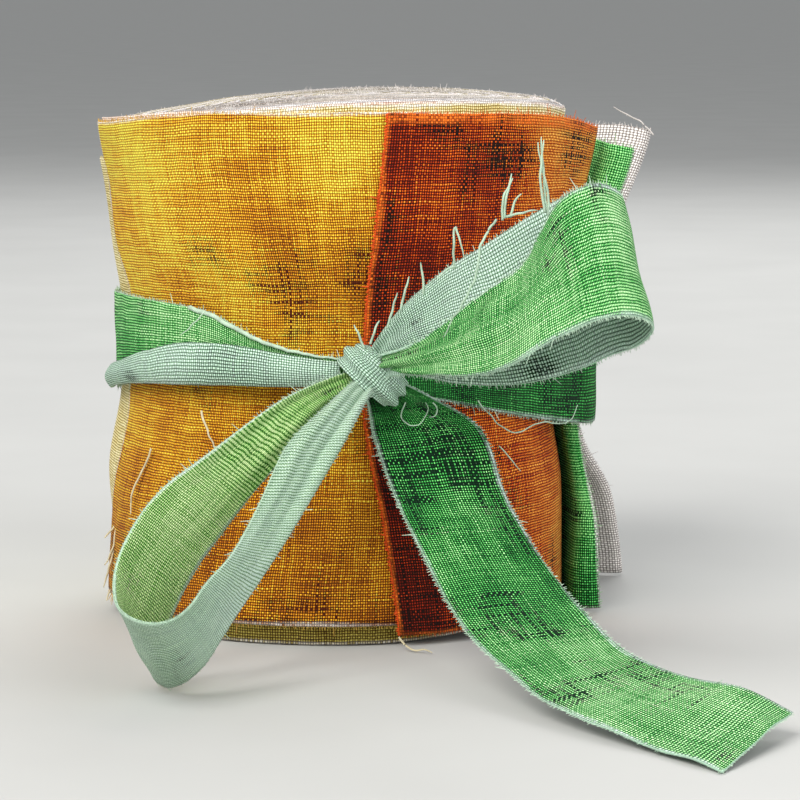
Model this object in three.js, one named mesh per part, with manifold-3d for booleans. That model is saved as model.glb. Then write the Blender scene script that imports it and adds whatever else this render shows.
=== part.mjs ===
// Roll of cotton strips held by a narrow strip tied in a bow. Millimetres, +Z up.
// The origin is on the roll's axis at the surface it stands on, and the bow faces -Y.
// Bearings are in degrees round the axis: 0 faces the bow (-Y), 90 is +X, 180 is the back.
import * as THREE from 'three';
import { mergeVertices } from 'three/addons/utils/BufferGeometryUtils.js';
import Module from 'manifold-3d';

// Cut sizes and clearances
const STRIP_WIDTH = 63.5;
const SHEET = 1.0;
const GAP = 0.3;

// The wound body
const ROLL_RADIUS = 28.5;
const FOOT_CHAMFER = 0.6;
const BODY_STEPS = 48;

// The tie draws the roll in at its waist
const WAIST_DEPTH = 1.7;
const WAIST_REACH = 13;
const WAIST_HEIGHT = 33.5;

const wasm = await Module();
wasm.setup();

function radians(bearing) {
  return THREE.MathUtils.degToRad(bearing);
}

function onBearing(bearing, radius, height) {
  const turn = radians(bearing);
  return new THREE.Vector3(radius * Math.sin(turn), -radius * Math.cos(turn), height);
}

// How far the wall is drawn in at a height: all of it at the band, fading above and below
function drawnIn(height) {
  const away = (height - WAIST_HEIGHT) / WAIST_REACH;
  return WAIST_DEPTH * Math.exp(-(away ** 4));
}

// A row of a table, blended between the rows either side of a key
function blendRows(rows, key, value) {
  let next = rows.findIndex((row) => row[key] >= value);
  if (next < 0) next = rows.length - 1;
  if (next === 0) return rows[0];
  const low = rows[next - 1];
  const high = rows[next];
  const share = THREE.MathUtils.clamp((value - low[key]) / (high[key] - low[key]), 0, 1);
  const blended = {};
  for (const column of Object.keys(low)) {
    blended[column] = THREE.MathUtils.lerp(low[column], high[column], share);
  }
  return blended;
}

function closedShape(geometry) {
  geometry.deleteAttribute('normal');
  geometry.deleteAttribute('uv');
  return mergeVertices(geometry, 1e-4);
}

// Cloth as a closed sheet: a box of many cells whose points are moved to their places.
// place(along, up, through) takes shares from 0 to 1 of the length, the width and the thickness.
function drapedSheet(stepsAlong, stepsUp, place) {
  const geometry = new THREE.BoxGeometry(1, 1, 1, stepsAlong, stepsUp, 1);
  const points = geometry.attributes.position;
  for (let i = 0; i < points.count; i += 1) {
    const spot = place(points.getX(i) + 0.5, points.getY(i) + 0.5, points.getZ(i) + 0.5);
    points.setXYZ(i, spot.x, spot.y, spot.z);
  }
  return closedShape(geometry);
}

function toSolid(geometry) {
  const shape = new wasm.Mesh({
    numProp: 3,
    vertProperties: new Float32Array(geometry.attributes.position.array),
    triVerts: new Uint32Array(geometry.index.array),
  });
  return new wasm.Manifold(shape);
}

function fromSolid(solid) {
  const shape = solid.getMesh();
  const geometry = new THREE.BufferGeometry();
  geometry.setAttribute('position', new THREE.BufferAttribute(shape.vertProperties, 3));
  geometry.setIndex(new THREE.BufferAttribute(shape.triVerts, 1));
  return geometry;
}

// Heights at which the wall and the strips round it are bent, so that they keep their distance
const BEND_HEIGHTS = [12, 22, 29, 36, 43, 52];
const BEND_STEPS = BEND_HEIGHTS.length + 1;

// Height of a strip's row, as a share of its rows counted from its lower edge
function rowHeight(bottom, top, up) {
  return [bottom, ...BEND_HEIGHTS, top][Math.round(up * BEND_STEPS)];
}

// Top of the wound body: the turns stand in low steps round an open eye
const BODY_TOP = [
  { radius: 28.0, height: 64.2 },
  { radius: 26.6, height: 65.0 },
  { radius: 26.2, height: 66.0 },
  { radius: 20.6, height: 66.8 },
  { radius: 20.2, height: 66.1 },
  { radius: 13.6, height: 66.6 },
  { radius: 13.2, height: 67.3 },
  { radius: 6.4, height: 67.0 },
  { radius: 3.4, height: 66.6 },
  { radius: 2.8, height: 61.0 },
];

function rollBody() {
  const profile = [new THREE.Vector2(0, 0), new THREE.Vector2(ROLL_RADIUS - FOOT_CHAMFER, 0)];
  for (const height of [FOOT_CHAMFER, ...BEND_HEIGHTS, STRIP_WIDTH]) {
    profile.push(new THREE.Vector2(ROLL_RADIUS, height));
  }
  for (const row of BODY_TOP) profile.push(new THREE.Vector2(row.radius, row.height));
  profile.push(new THREE.Vector2(0, BODY_TOP.at(-1).height));
  const geometry = new THREE.LatheGeometry(profile, BODY_STEPS);
  geometry.rotateX(Math.PI / 2);
  const points = geometry.attributes.position;
  for (let i = 0; i < points.count; i += 1) {
    const x = points.getX(i);
    const y = points.getY(i);
    const height = points.getZ(i);
    const radius = Math.hypot(x, y);
    const wall = radius > ROLL_RADIUS - FOOT_CHAMFER - 0.01 && height < STRIP_WIDTH + 0.1;
    const scale = wall ? (radius - drawnIn(height)) / radius : 1;
    points.setXYZ(i, x * scale, y * scale, height);
  }
  return closedShape(geometry);
}

// Strips that lie on the wound body, each a table of its two ends at rising heights.
// flare is how far an end stands off the body there.
const YELLOW_ENDS = [
  { height: 2.5, start: -89, end: 14.5, startFlare: 0.6, endFlare: 0 },
  { height: 16, start: -85, end: 11, startFlare: 0.2, endFlare: 0 },
  { height: 29, start: -66, end: 6.5, startFlare: 0, endFlare: 0 },
  { height: 43, start: -66, end: 7, startFlare: 0, endFlare: 0 },
  { height: 55, start: -77, end: 9.5, startFlare: 0.4, endFlare: 0 },
  { height: 66, start: -86, end: 11.5, startFlare: 1.6, endFlare: 0 },
];
const RUST_ENDS = [
  { height: 1.6, start: 16, end: 90, startFlare: 0.3, endFlare: 0 },
  { height: 16, start: 12.5, end: 90, startFlare: 0.3, endFlare: 0 },
  { height: 29, start: 8, end: 90, startFlare: 0.3, endFlare: 0 },
  { height: 43, start: 8.5, end: 90, startFlare: 0.3, endFlare: 0.6 },
  { height: 55, start: 11, end: 90, startFlare: 0.3, endFlare: 1.6 },
  { height: 65.4, start: 13, end: 90, startFlare: 0.3, endFlare: 3 },
];
const PALE_ENDS = [
  { height: 0.8, start: -154, end: -91, startFlare: 0, endFlare: 0 },
  { height: 16, start: -154, end: -87, startFlare: 0, endFlare: 0 },
  { height: 29, start: -154, end: -68, startFlare: 0, endFlare: 0 },
  { height: 43, start: -154, end: -68, startFlare: 0, endFlare: 0 },
  { height: 55, start: -154, end: -79, startFlare: 0, endFlare: 0 },
  { height: 62, start: -154, end: -88, startFlare: 0, endFlare: 0 },
];

// The flare fades over this many degrees from an end
const FLARE_REACH = 40;

function woundStrip(ends, stepsAlong) {
  const bottom = ends[0].height;
  const top = ends.at(-1).height;
  return drapedSheet(stepsAlong, BEND_STEPS, (along, up, through) => {
    const height = rowHeight(bottom, top, up);
    const row = blendRows(ends, 'height', height);
    const bearing = THREE.MathUtils.lerp(row.start, row.end, along);
    const fromStart = Math.max(0, 1 - (bearing - row.start) / FLARE_REACH);
    const fromEnd = Math.max(0, 1 - (row.end - bearing) / FLARE_REACH);
    const flare = row.startFlare * fromStart ** 2 + row.endFlare * fromEnd ** 2;
    const inner = ROLL_RADIUS + GAP - drawnIn(height) + flare;
    return onBearing(bearing, inner + SHEET * through, height);
  });
}

// Strips that lie round the back and stand off at their cut end.
// x and y are the place of the cut end, and the cloth leaves the body where it runs straight to it.
const GREEN_FLAP = [
  { height: 0.8, x: 34.6, y: -5.5 },
  { height: 12, x: 34.0, y: -5.5 },
  { height: 22, x: 32.2, y: -4.8 },
  { height: 29, x: 31.4, y: -4.0 },
  { height: 36, x: 31.4, y: -4.0 },
  { height: 43, x: 32.4, y: -4.0 },
  { height: 52, x: 35.4, y: -4.5 },
  { height: 62, x: 38.0, y: -4.0 },
];
const LINEN_FLAP = [
  { height: 0.8, x: 39.6, y: 20.0 },
  { height: 12, x: 37.6, y: 13.5 },
  { height: 22, x: 32.6, y: 5.6 },
  { height: 29, x: 32.0, y: 4.8 },
  { height: 36, x: 32.0, y: 4.8 },
  { height: 43, x: 33.4, y: 6.4 },
  { height: 52, x: 38.8, y: 13.5 },
  { height: 62.4, x: 43.0, y: 18.0 },
];
const GREEN_REST = { seated: 109, hiddenEnd: 111.5, share: 0.75 };
const LINEN_REST = { seated: 160, hiddenEnd: 205, share: 0.6 };

// Cloth that lies on the body from the end that another strip hides, leaves it on a tangent and runs
// straight to its cut end. It is seated at every height from the bearing seated to hiddenEnd, and
// share is the share of its steps that come before that.
function standingStrip(flap, rest, stepsAlong) {
  const bottom = flap[0].height;
  const top = flap.at(-1).height;
  return drapedSheet(stepsAlong, BEND_STEPS, (along, up, through) => {
    const height = rowHeight(bottom, top, up);
    const row = blendRows(flap, 'height', height);
    const seat = ROLL_RADIUS + GAP + SHEET / 2 - drawnIn(height);
    const tipBearing = THREE.MathUtils.radToDeg(Math.atan2(row.x, -row.y));
    const straightTurn = THREE.MathUtils.radToDeg(Math.acos(seat / Math.hypot(row.x, row.y)));
    const leave = tipBearing + straightTurn;
    const bearing = along < rest.share
      ? THREE.MathUtils.lerp(tipBearing, rest.seated, along / rest.share)
      : THREE.MathUtils.lerp(rest.seated, rest.hiddenEnd, (along - rest.share) / (1 - rest.share));
    const radius = seat / Math.cos(radians(Math.max(0, leave - bearing)));
    const outward = onBearing(Math.max(bearing, leave), (through - 0.5) * SHEET, 0);
    return onBearing(bearing, radius, height).add(outward);
  });
}

// The tie. Its band goes round the roll from the knot's right to the knot's left.
// radius is to the middle of the cloth, low and high are the heights of its two edges.
const BAND = [
  { bearing: 8, radius: 34.2, low: 33.6, high: 37.0 },
  { bearing: 16, radius: 31.0, low: 31.6, high: 36.4 },
  { bearing: 28, radius: 29.6, low: 30.4, high: 37.0 },
  { bearing: 45, radius: 29.4, low: 28.4, high: 37.5 },
  { bearing: 62, radius: 29.8, low: 26.6, high: 37.5 },
  { bearing: 77, radius: 32.2, low: 25.2, high: 37.3 },
  { bearing: 84, radius: 33.6, low: 24.8, high: 37.2 },
  { bearing: 98, radius: 34.3, low: 24.8, high: 37.2 },
  { bearing: 105, radius: 33.0, low: 25.0, high: 37.4 },
  { bearing: 116, radius: 30.9, low: 26.0, high: 38.4 },
  { bearing: 135, radius: 29.6, low: 26.8, high: 39.4 },
  { bearing: 180, radius: 29.4, low: 28.0, high: 40.8 },
  { bearing: 225, radius: 29.4, low: 29.0, high: 41.6 },
  { bearing: 270, radius: 29.2, low: 29.2, high: 41.8 },
  { bearing: 293, radius: 29.2, low: 31.0, high: 42.2 },
  { bearing: 317, radius: 29.2, low: 32.2, high: 42.0 },
  { bearing: 330, radius: 29.4, low: 32.7, high: 41.2 },
  { bearing: 343, radius: 30.0, low: 33.0, high: 38.4 },
  { bearing: 353, radius: 31.4, low: 33.2, high: 37.0 },
  { bearing: 364, radius: 33.8, low: 33.6, high: 36.6 },
];
const BAND_STEPS = 60;

// The band's lower half is turned up over itself at the left
const BAND_FOLD = [
  { bearing: 262, radius: 30.0, low: 29.2, high: 30.6 },
  { bearing: 270, radius: 30.1, low: 29.2, high: 31.6 },
  { bearing: 293, radius: 30.1, low: 31.0, high: 33.8 },
  { bearing: 310, radius: 30.1, low: 32.0, high: 36.0 },
  { bearing: 322, radius: 30.2, low: 32.4, high: 37.4 },
  { bearing: 336, radius: 30.6, low: 32.8, high: 37.6 },
  { bearing: 350, radius: 31.8, low: 33.1, high: 36.8 },
  { bearing: 360, radius: 33.6, low: 33.3, high: 36.2 },
];
const FOLD_STEPS = 22;

function bandPiece(rows, steps) {
  const first = rows[0].bearing;
  const last = rows.at(-1).bearing;
  return toSolid(drapedSheet(steps, 1, (along, up, through) => {
    const bearing = THREE.MathUtils.lerp(first, last, along);
    const row = blendRows(rows, 'bearing', bearing);
    const height = THREE.MathUtils.lerp(row.low, row.high, up);
    return onBearing(bearing, row.radius + (through - 0.5) * SHEET, height);
  }));
}

// Free runs of the tie. Each row is a section of the cloth: one edge at ax, ay, az, the other at bx, by, bz.
const RIGHT_LOOP = [
  { ax: 4.0, ay: -35.5, az: 36.5, bx: 5.6, by: -36.0, bz: 34.4 },
  { ax: 8.5, ay: -39.0, az: 42.8, bx: 9.7, by: -42.0, bz: 35.6 },
  { ax: 13.0, ay: -42.0, az: 47.5, bx: 15.5, by: -49.0, bz: 35.4 },
  { ax: 17.7, ay: -46.0, az: 50.8, bx: 22.0, by: -56.0, bz: 36.2 },
  { ax: 23.0, ay: -50.0, az: 54.6, bx: 28.0, by: -61.0, bz: 38.4 },
  { ax: 27.5, ay: -54.0, az: 57.6, bx: 32.0, by: -64.0, bz: 40.4 },
  { ax: 31.0, ay: -57.5, az: 58.6, bx: 34.6, by: -67.0, bz: 41.8 },
  { ax: 33.2, ay: -61.5, az: 57.8, bx: 35.8, by: -70.0, bz: 43.8 },
  { ax: 32.4, ay: -64.6, az: 58.8, bx: 35.0, by: -72.4, bz: 45.2 },
  { ax: 29.8, ay: -66.0, az: 59.6, bx: 32.6, by: -73.4, bz: 45.8 },
  { ax: 26.3, ay: -66.0, az: 58.0, bx: 29.0, by: -74.0, bz: 45.2 },
  { ax: 24.0, ay: -64.0, az: 54.2, bx: 25.4, by: -73.0, bz: 43.4 },
  { ax: 21.5, ay: -60.0, az: 49.6, bx: 21.0, by: -69.0, bz: 40.2 },
  { ax: 16.2, ay: -52.0, az: 45.2, bx: 16.4, by: -60.0, bz: 37.8 },
  { ax: 11.8, ay: -45.0, az: 40.6, bx: 12.0, by: -50.0, bz: 36.6 },
  { ax: 6.0, ay: -38.0, az: 37.4, bx: 7.0, by: -38.6, bz: 35.6 },
];
const LEFT_LOOP = [
  { ax: 4.4, ay: -36.0, az: 36.0, bx: 4.8, by: -36.0, bz: 34.0 },
  { ax: -1.0, ay: -38.0, az: 34.4, bx: 0.4, by: -37.6, bz: 31.6 },
  { ax: -6.5, ay: -41.0, az: 32.0, bx: -2.3, by: -39.4, bz: 28.9 },
  { ax: -14.0, ay: -46.0, az: 26.8, bx: -8.6, by: -42.4, bz: 21.8 },
  { ax: -18.7, ay: -50.0, az: 23.6, bx: -12.3, by: -44.4, bz: 17.1 },
  { ax: -21.9, ay: -54.0, az: 20.0, bx: -15.7, by: -46.4, bz: 13.0 },
  { ax: -23.7, ay: -58.0, az: 15.7, bx: -18.6, by: -48.4, bz: 7.6 },
  { ax: -23.9, ay: -62.0, az: 12.4, bx: -20.4, by: -50.6, bz: 2.2 },
  { ax: -22.3, ay: -66.0, az: 11.4, bx: -19.0, by: -53.6, bz: 0.6 },
  { ax: -19.6, ay: -67.6, az: 10.8, bx: -16.8, by: -55.8, bz: 1.2 },
  { ax: -16.9, ay: -66.4, az: 11.0, bx: -14.6, by: -56.6, bz: 3.2 },
  { ax: -14.8, ay: -62.8, az: 12.0, bx: -12.6, by: -55.6, bz: 5.6 },
  { ax: -13.2, ay: -58.0, az: 14.2, bx: -9.7, by: -52.6, bz: 9.9 },
  { ax: -10.1, ay: -53.0, az: 17.4, bx: -5.4, by: -48.8, bz: 16.0 },
  { ax: -7.6, ay: -49.0, az: 21.8, bx: -2.1, by: -45.6, bz: 21.3 },
  { ax: -4.6, ay: -45.0, az: 27.8, bx: 1.4, by: -42.6, bz: 26.9 },
  { ax: 0.6, ay: -40.0, az: 32.6, bx: 4.4, by: -39.6, bz: 32.0 },
  { ax: 3.6, ay: -37.4, az: 35.0, bx: 6.0, by: -37.2, bz: 34.2 },
];
const TAIL = [
  { ax: 7.2, ay: -35.0, az: 34.4, bx: 3.4, by: -35.2, bz: 34.0 },
  { ax: 12.4, ay: -33.4, az: 31.8, bx: 4.6, by: -34.4, bz: 31.1 },
  { ax: 18.3, ay: -34.4, az: 28.0, bx: 5.4, by: -35.0, bz: 26.8 },
  { ax: 21.2, ay: -38.0, az: 20.7, bx: 8.0, by: -38.0, bz: 20.0 },
  { ax: 23.7, ay: -43.0, az: 16.3, bx: 10.6, by: -42.0, bz: 15.2 },
  { ax: 26.7, ay: -49.0, az: 12.6, bx: 13.2, by: -47.0, bz: 10.8 },
  { ax: 30.3, ay: -57.0, az: 9.2, bx: 16.2, by: -53.6, bz: 7.0 },
  { ax: 33.1, ay: -63.0, az: 7.4, bx: 19.9, by: -60.4, bz: 4.6 },
  { ax: 36.2, ay: -67.0, az: 6.2, bx: 24.0, by: -68.6, bz: 2.7 },
  { ax: 40.5, ay: -71.0, az: 5.3, bx: 29.2, by: -76.4, bz: 1.8 },
  { ax: 45.6, ay: -73.6, az: 4.9, bx: 35.1, by: -84.0, bz: 1.2 },
  { ax: 51.2, ay: -76.4, az: 2.8, bx: 41.9, by: -93.0, bz: 0.7 },
];
const LOOP_STEPS = 40;
const TAIL_STEPS = 28;

function edgeCurve(rows, edge) {
  const corners = rows.map((row) => new THREE.Vector3(row[edge + 'x'], row[edge + 'y'], row[edge + 'z']));
  return new THREE.CatmullRomCurve3(corners, false, 'centripetal');
}

// Cloth between two edge curves, its thickness square to both the run and the width
function freeRun(rows, steps) {
  const farEdge = edgeCurve(rows, 'a');
  const nearEdge = edgeCurve(rows, 'b');
  return toSolid(drapedSheet(steps, 2, (along, up, through) => {
    const far = farEdge.getPoint(along);
    const near = nearEdge.getPoint(along);
    const run = farEdge.getTangent(along).add(nearEdge.getTangent(along));
    const normal = run.cross(far.clone().sub(near)).normalize();
    return near.lerp(far, up).addScaledVector(normal, (through - 0.5) * SHEET);
  }));
}

// The knot is a short fat wrap that slants down to the right
const KNOT = { x: 4.9, y: -35.6, z: 35.0, halfLength: 4.8, halfDepth: 3.6, halfHeight: 3.4, slant: 45 };

function knotBody() {
  const geometry = new THREE.SphereGeometry(1, 16, 10);
  geometry.scale(KNOT.halfLength, KNOT.halfDepth, KNOT.halfHeight);
  geometry.rotateY(radians(KNOT.slant));
  geometry.translate(KNOT.x, KNOT.y, KNOT.z);
  return toSolid(closedShape(geometry));
}

function tieBody() {
  const runs = [
    bandPiece(BAND, BAND_STEPS),
    bandPiece(BAND_FOLD, FOLD_STEPS),
    freeRun(RIGHT_LOOP, LOOP_STEPS),
    freeRun(LEFT_LOOP, LOOP_STEPS),
    freeRun(TAIL, TAIL_STEPS),
  ];
  return fromSolid(runs.reduce((whole, run) => whole.add(run), knotBody()));
}

function cloth(color) {
  return new THREE.MeshStandardMaterial({ color, roughness: 0.9, metalness: 0 });
}

function piece(name, geometry, color) {
  const mesh = new THREE.Mesh(geometry, cloth(color));
  mesh.name = name;
  return mesh;
}

const group = new THREE.Group();
group.add(piece('roll', rollBody(), 0xe6dcd4));
group.add(piece('yellow_strip', woundStrip(YELLOW_ENDS, 24), 0xd9a526));
group.add(piece('rust_strip', woundStrip(RUST_ENDS, 18), 0xb4561a));
group.add(piece('pale_strip', woundStrip(PALE_ENDS, 12), 0xe0d488));
group.add(piece('green_strip', standingStrip(GREEN_FLAP, GREEN_REST, 8), 0x2f9440));
group.add(piece('linen_strip', standingStrip(LINEN_FLAP, LINEN_REST, 20), 0xc8bebc));
group.add(piece('tie', tieBody(), 0x3fae55));

export default group;
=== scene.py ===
import math
import random
from collections import namedtuple

import bmesh
import bpy
from mathutils import Matrix, Vector, noise


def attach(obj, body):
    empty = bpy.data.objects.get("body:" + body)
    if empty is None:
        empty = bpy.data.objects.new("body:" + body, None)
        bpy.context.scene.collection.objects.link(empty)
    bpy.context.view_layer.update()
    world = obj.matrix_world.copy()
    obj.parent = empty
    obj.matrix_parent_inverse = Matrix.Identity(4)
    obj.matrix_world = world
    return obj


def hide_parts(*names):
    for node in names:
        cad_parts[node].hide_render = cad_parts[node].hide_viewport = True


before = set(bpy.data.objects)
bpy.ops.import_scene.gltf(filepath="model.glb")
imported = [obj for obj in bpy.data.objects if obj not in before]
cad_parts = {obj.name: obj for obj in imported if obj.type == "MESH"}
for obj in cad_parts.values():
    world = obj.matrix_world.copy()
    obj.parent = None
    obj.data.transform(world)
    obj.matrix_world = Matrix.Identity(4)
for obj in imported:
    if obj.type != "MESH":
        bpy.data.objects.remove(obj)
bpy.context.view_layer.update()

# Lengths in this script are in millimetres, and MM turns them to metres where a mesh is made.
# Bearings are in degrees round the roll's axis: 0 faces the bow (-Y), 90 is +X, 180 is the back.
MM = 0.001

# The cloth's thickness, the spacing of its threads, and the sizes that its strips are cut to
CLOTH = 0.29
WARP_PITCH = 0.345
WEFT_PITCH = 0.31
STRIP_WIDTH = 63.5
STRIP_LENGTH = 1070.0
TIE_WIDTH = 14.5

# The shortest side that belongs rounds a sheet's size up to, in metres
LEAST_FLAT = 0.01

# The wound body, and the radii at which the strips and the tie lie round it
ROLL_RADIUS = 28.9
EYE_RADIUS = 3.0
PALE_SEAT = 29.05
GREEN_SEAT = 29.3
YELLOW_SEAT = 29.4
BAND_SEAT = 29.5
LINEN_SEAT = 29.6
RUST_SEAT = 29.8

# The tie draws the roll in at its waist
WAIST_DEPTH = 1.5
WAIST_REACH = 13.0
WAIST_HEIGHT = 33.5

# The camera, fitted to the photo's perspective. Its tilt is how far it looks down.
CAMERA_PLACE = (8.5, -413.0, 80.4)
CAMERA_TILT = 7.34
CAMERA_LENS = 142.2

# Thread ends and the kinks of loose threads come out the same each time
random.seed(7)
noise.seed_set(7)


def add_camera():
    camera = bpy.data.objects.new("camera", bpy.data.cameras.new("camera"))
    camera.data.lens = CAMERA_LENS
    camera.data.sensor_width = 36.0
    camera.data.clip_end = 200.0
    camera.location = Vector(CAMERA_PLACE) * MM
    camera.rotation_euler = (math.radians(90.0 - CAMERA_TILT), 0.0, 0.0)
    bpy.context.collection.objects.link(camera)
    bpy.context.scene.camera = camera


def add_light(name, place, aim, size, power, colour):
    light = bpy.data.objects.new(name, bpy.data.lights.new(name, "AREA"))
    light.data.size = size
    light.data.energy = power
    light.data.color = colour
    light.location = place
    light.rotation_euler = (Vector(aim) - Vector(place)).to_track_quat("-Z", "Y").to_euler()
    bpy.context.collection.objects.link(light)


def light_scene():
    middle = (0.0, 0.0, 0.03)
    add_light("key", (-0.4, -0.6, 0.7), middle, size=0.6, power=9.5, colour=(1.0, 0.98, 0.95))
    add_light("fill", (0.6, -0.7, 0.4), middle, size=0.9, power=5.0, colour=(0.97, 0.98, 1.0))
    add_light("rear", (0.2, 0.6, 0.6), middle, size=0.6, power=3.5, colour=(1.0, 1.0, 1.0))
    world = bpy.data.worlds.new("studio")
    world.use_nodes = True
    backdrop = world.node_tree.nodes["Background"]
    backdrop.inputs["Color"].default_value = (0.82, 0.84, 0.86, 1.0)
    backdrop.inputs["Strength"].default_value = 0.55
    bpy.context.scene.world = world
    bpy.context.scene.view_settings.view_transform = "Standard"


# Materials

class Value:
    """A number that varies over a surface: a socket whose sums add Math nodes."""

    def __init__(self, paint, socket):
        self.paint = paint
        self.socket = socket

    def math(self, operation, *others):
        return self.paint.math(operation, self, *others)

    def __add__(self, other):
        return self.math("ADD", other)

    def __sub__(self, other):
        return self.math("SUBTRACT", other)

    def __mul__(self, other):
        return self.math("MULTIPLY", other)

    def __truediv__(self, other):
        return self.math("DIVIDE", other)

    def __pow__(self, other):
        return self.math("POWER", other)

    def __rsub__(self, other):
        return self.paint.math("SUBTRACT", other, self)

    __radd__ = __add__
    __rmul__ = __mul__

    def sine(self):
        return self.math("SINE")

    def size(self):
        return self.math("ABSOLUTE")

    def floor(self):
        return self.math("FLOOR")

    def above(self, limit):
        return self.math("GREATER_THAN", limit)

    def clamped(self):
        node = self.paint.node("ShaderNodeClamp", {}, {"Value": self})
        return Value(self.paint, node.outputs[0])


class Paint:
    """One material and the nodes behind its shader."""

    def __init__(self, name):
        self.material = bpy.data.materials.new(name)
        self.material.use_nodes = True
        self.tree = self.material.node_tree
        self.shader = self.tree.nodes["Principled BSDF"]
        self.shader.inputs["Specular IOR Level"].default_value = 0.12

    def node(self, kind, settings, inputs):
        node = self.tree.nodes.new(kind)
        for name, setting in settings.items():
            setattr(node, name, setting)
        for name, given in inputs.items():
            self.feed(node.inputs[name], given)
        return node

    def feed(self, socket, given):
        if isinstance(given, Value):
            given = given.socket
        if isinstance(given, bpy.types.NodeSocket):
            self.tree.links.new(given, socket)
        else:
            socket.default_value = given

    def math(self, operation, *parts):
        inputs = dict(enumerate(parts))
        return Value(self, self.node("ShaderNodeMath", {"operation": operation}, inputs).outputs[0])

    def vector(self, x, y, z=0.0):
        return self.node("ShaderNodeCombineXYZ", {}, {"X": x, "Y": y, "Z": z}).outputs[0]

    def noise(self, place, scale, detail=2.0):
        inputs = {"Vector": place, "Scale": scale, "Detail": detail}
        return Value(self, self.node("ShaderNodeTexNoise", {}, inputs).outputs[0])

    def blend(self, share, first, second, kind="MIX"):
        inputs = {0: share, 6: first, 7: second}
        settings = {"data_type": "RGBA", "blend_type": kind}
        return self.node("ShaderNodeMix", settings, inputs).outputs[2]

    def ramp(self, value, stops):
        node = self.node("ShaderNodeValToRGB", {}, {"Fac": value})
        elements = node.color_ramp.elements
        while len(elements) < len(stops):
            elements.new(0.5)
        for element, (position, colour) in zip(elements, stops):
            element.position = position
            element.color = rgb(colour)
        return node.outputs[0]


def rgb(display):
    """A colour as seen on a screen, turned to the linear values that shaders take."""
    linear = [((c + 0.055) / 1.055) ** 2.4 if c > 0.04 else c / 12.92 for c in display]
    return (*linear, 1.0)


# A print is a ramp of colours from its darkest marks to its lightest, as (position, colour), with
# the ink of its darkest crosshatching. inked is how much of the cloth that covers, and raised how
# much lighter the raised threads are, which paints shade into the hollows between them. light, along
# and up lighten the colours and thin the ink: all over, per metre along the strip and per metre up it.
# A print that grows lighter upward has shade painted onto its lower part. pale is the strip's
# unprinted side. Where a print leaves these four out, they are 0, 0, 0 and raw white.
RAW_WHITE = (0.96, 0.94, 0.92)
RAW_MINT = (0.80, 0.88, 0.84)
RAW_ORANGE = (0.95, 0.46, 0.14)
Print = namedtuple(
    "Print", "stops ink inked raised light along up pale", defaults=(0.0, 0.0, 0.0, RAW_WHITE)
)
# up paints shade onto the yellow strip's lower part
YELLOW_PRINT = Print(
    stops=[
        (0.24, (0.50, 0.26, 0.05)),
        (0.38, (0.74, 0.42, 0.07)),
        (0.50, (0.89, 0.60, 0.11)),
        (0.62, (0.95, 0.75, 0.18)),
        (0.78, (0.90, 0.88, 0.32)),
    ],
    ink=(0.34, 0.13, 0.04),
    inked=0.42,
    raised=0.5,
    light=-0.12,
    along=-2.6,
    up=3.4,
)
# up paints shade onto the rust strip's lower part
RUST_PRINT = Print(
    stops=[
        (0.20, (0.30, 0.08, 0.03)),
        (0.36, (0.60, 0.13, 0.04)),
        (0.50, (0.85, 0.34, 0.06)),
        (0.62, (0.95, 0.56, 0.14)),
        (0.78, (0.98, 0.72, 0.32)),
    ],
    ink=(0.15, 0.07, 0.05),
    inked=0.50,
    raised=0.5,
    light=-0.39,
    along=13.0,
    up=1.2,
    pale=RAW_ORANGE,
)
GREEN_PRINT = Print(
    stops=[
        (0.10, (0.05, 0.17, 0.08)),
        (0.26, (0.10, 0.36, 0.15)),
        (0.40, (0.17, 0.56, 0.23)),
        (0.52, (0.28, 0.72, 0.34)),
        (0.64, (0.50, 0.86, 0.46)),
        (0.80, (0.82, 0.96, 0.74)),
    ],
    ink=(0.03, 0.17, 0.09),
    inked=0.40,
    raised=0.7,
    light=-0.02,
    pale=RAW_MINT,
)
BAND_PRINT = GREEN_PRINT._replace(inked=0.46, light=-0.39, along=2.2)
# painted shade: the tail is darkest where it leaves the knot, under the loops, and lightens along its
# length
SHADED_TAIL_PRINT = GREEN_PRINT._replace(inked=0.52, raised=0.9, light=-0.43, along=4.6)
# a lighter, yellower copy of the tie's green for the left loop: partly its print, partly painted light
# where that loop lies in shade
LIT_LEAF_PRINT = GREEN_PRINT._replace(
    stops=[
        (0.10, (0.08, 0.28, 0.06)),
        (0.26, (0.16, 0.48, 0.14)),
        (0.40, (0.32, 0.65, 0.24)),
        (0.52, (0.48, 0.78, 0.34)),
        (0.64, (0.68, 0.88, 0.48)),
        (0.80, (0.90, 0.97, 0.74)),
    ],
    light=0.04,
)
# up paints shade onto the green strip's lower part
DEEP_GREEN_PRINT = Print(
    stops=[
        (0.14, (0.03, 0.20, 0.07)),
        (0.28, (0.06, 0.38, 0.13)),
        (0.42, (0.16, 0.60, 0.24)),
        (0.56, (0.34, 0.80, 0.38)),
        (0.74, (0.66, 0.94, 0.60)),
    ],
    ink=(0.03, 0.20, 0.09),
    inked=0.44,
    raised=0.7,
    light=-0.24,
    up=4.0,
)
LINEN_PRINT = Print(
    stops=[(0.30, (0.58, 0.51, 0.49)), (0.50, (0.76, 0.70, 0.67)), (0.70, (0.87, 0.82, 0.79))],
    ink=(0.52, 0.46, 0.45),
    inked=0.30,
    raised=0.5,
)
PALE_PRINT = Print(
    stops=[(0.30, (0.76, 0.62, 0.28)), (0.50, (0.92, 0.85, 0.54)), (0.70, (0.98, 0.94, 0.76))],
    ink=(0.66, 0.54, 0.26),
    inked=0.25,
    raised=0.5,
)
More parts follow.
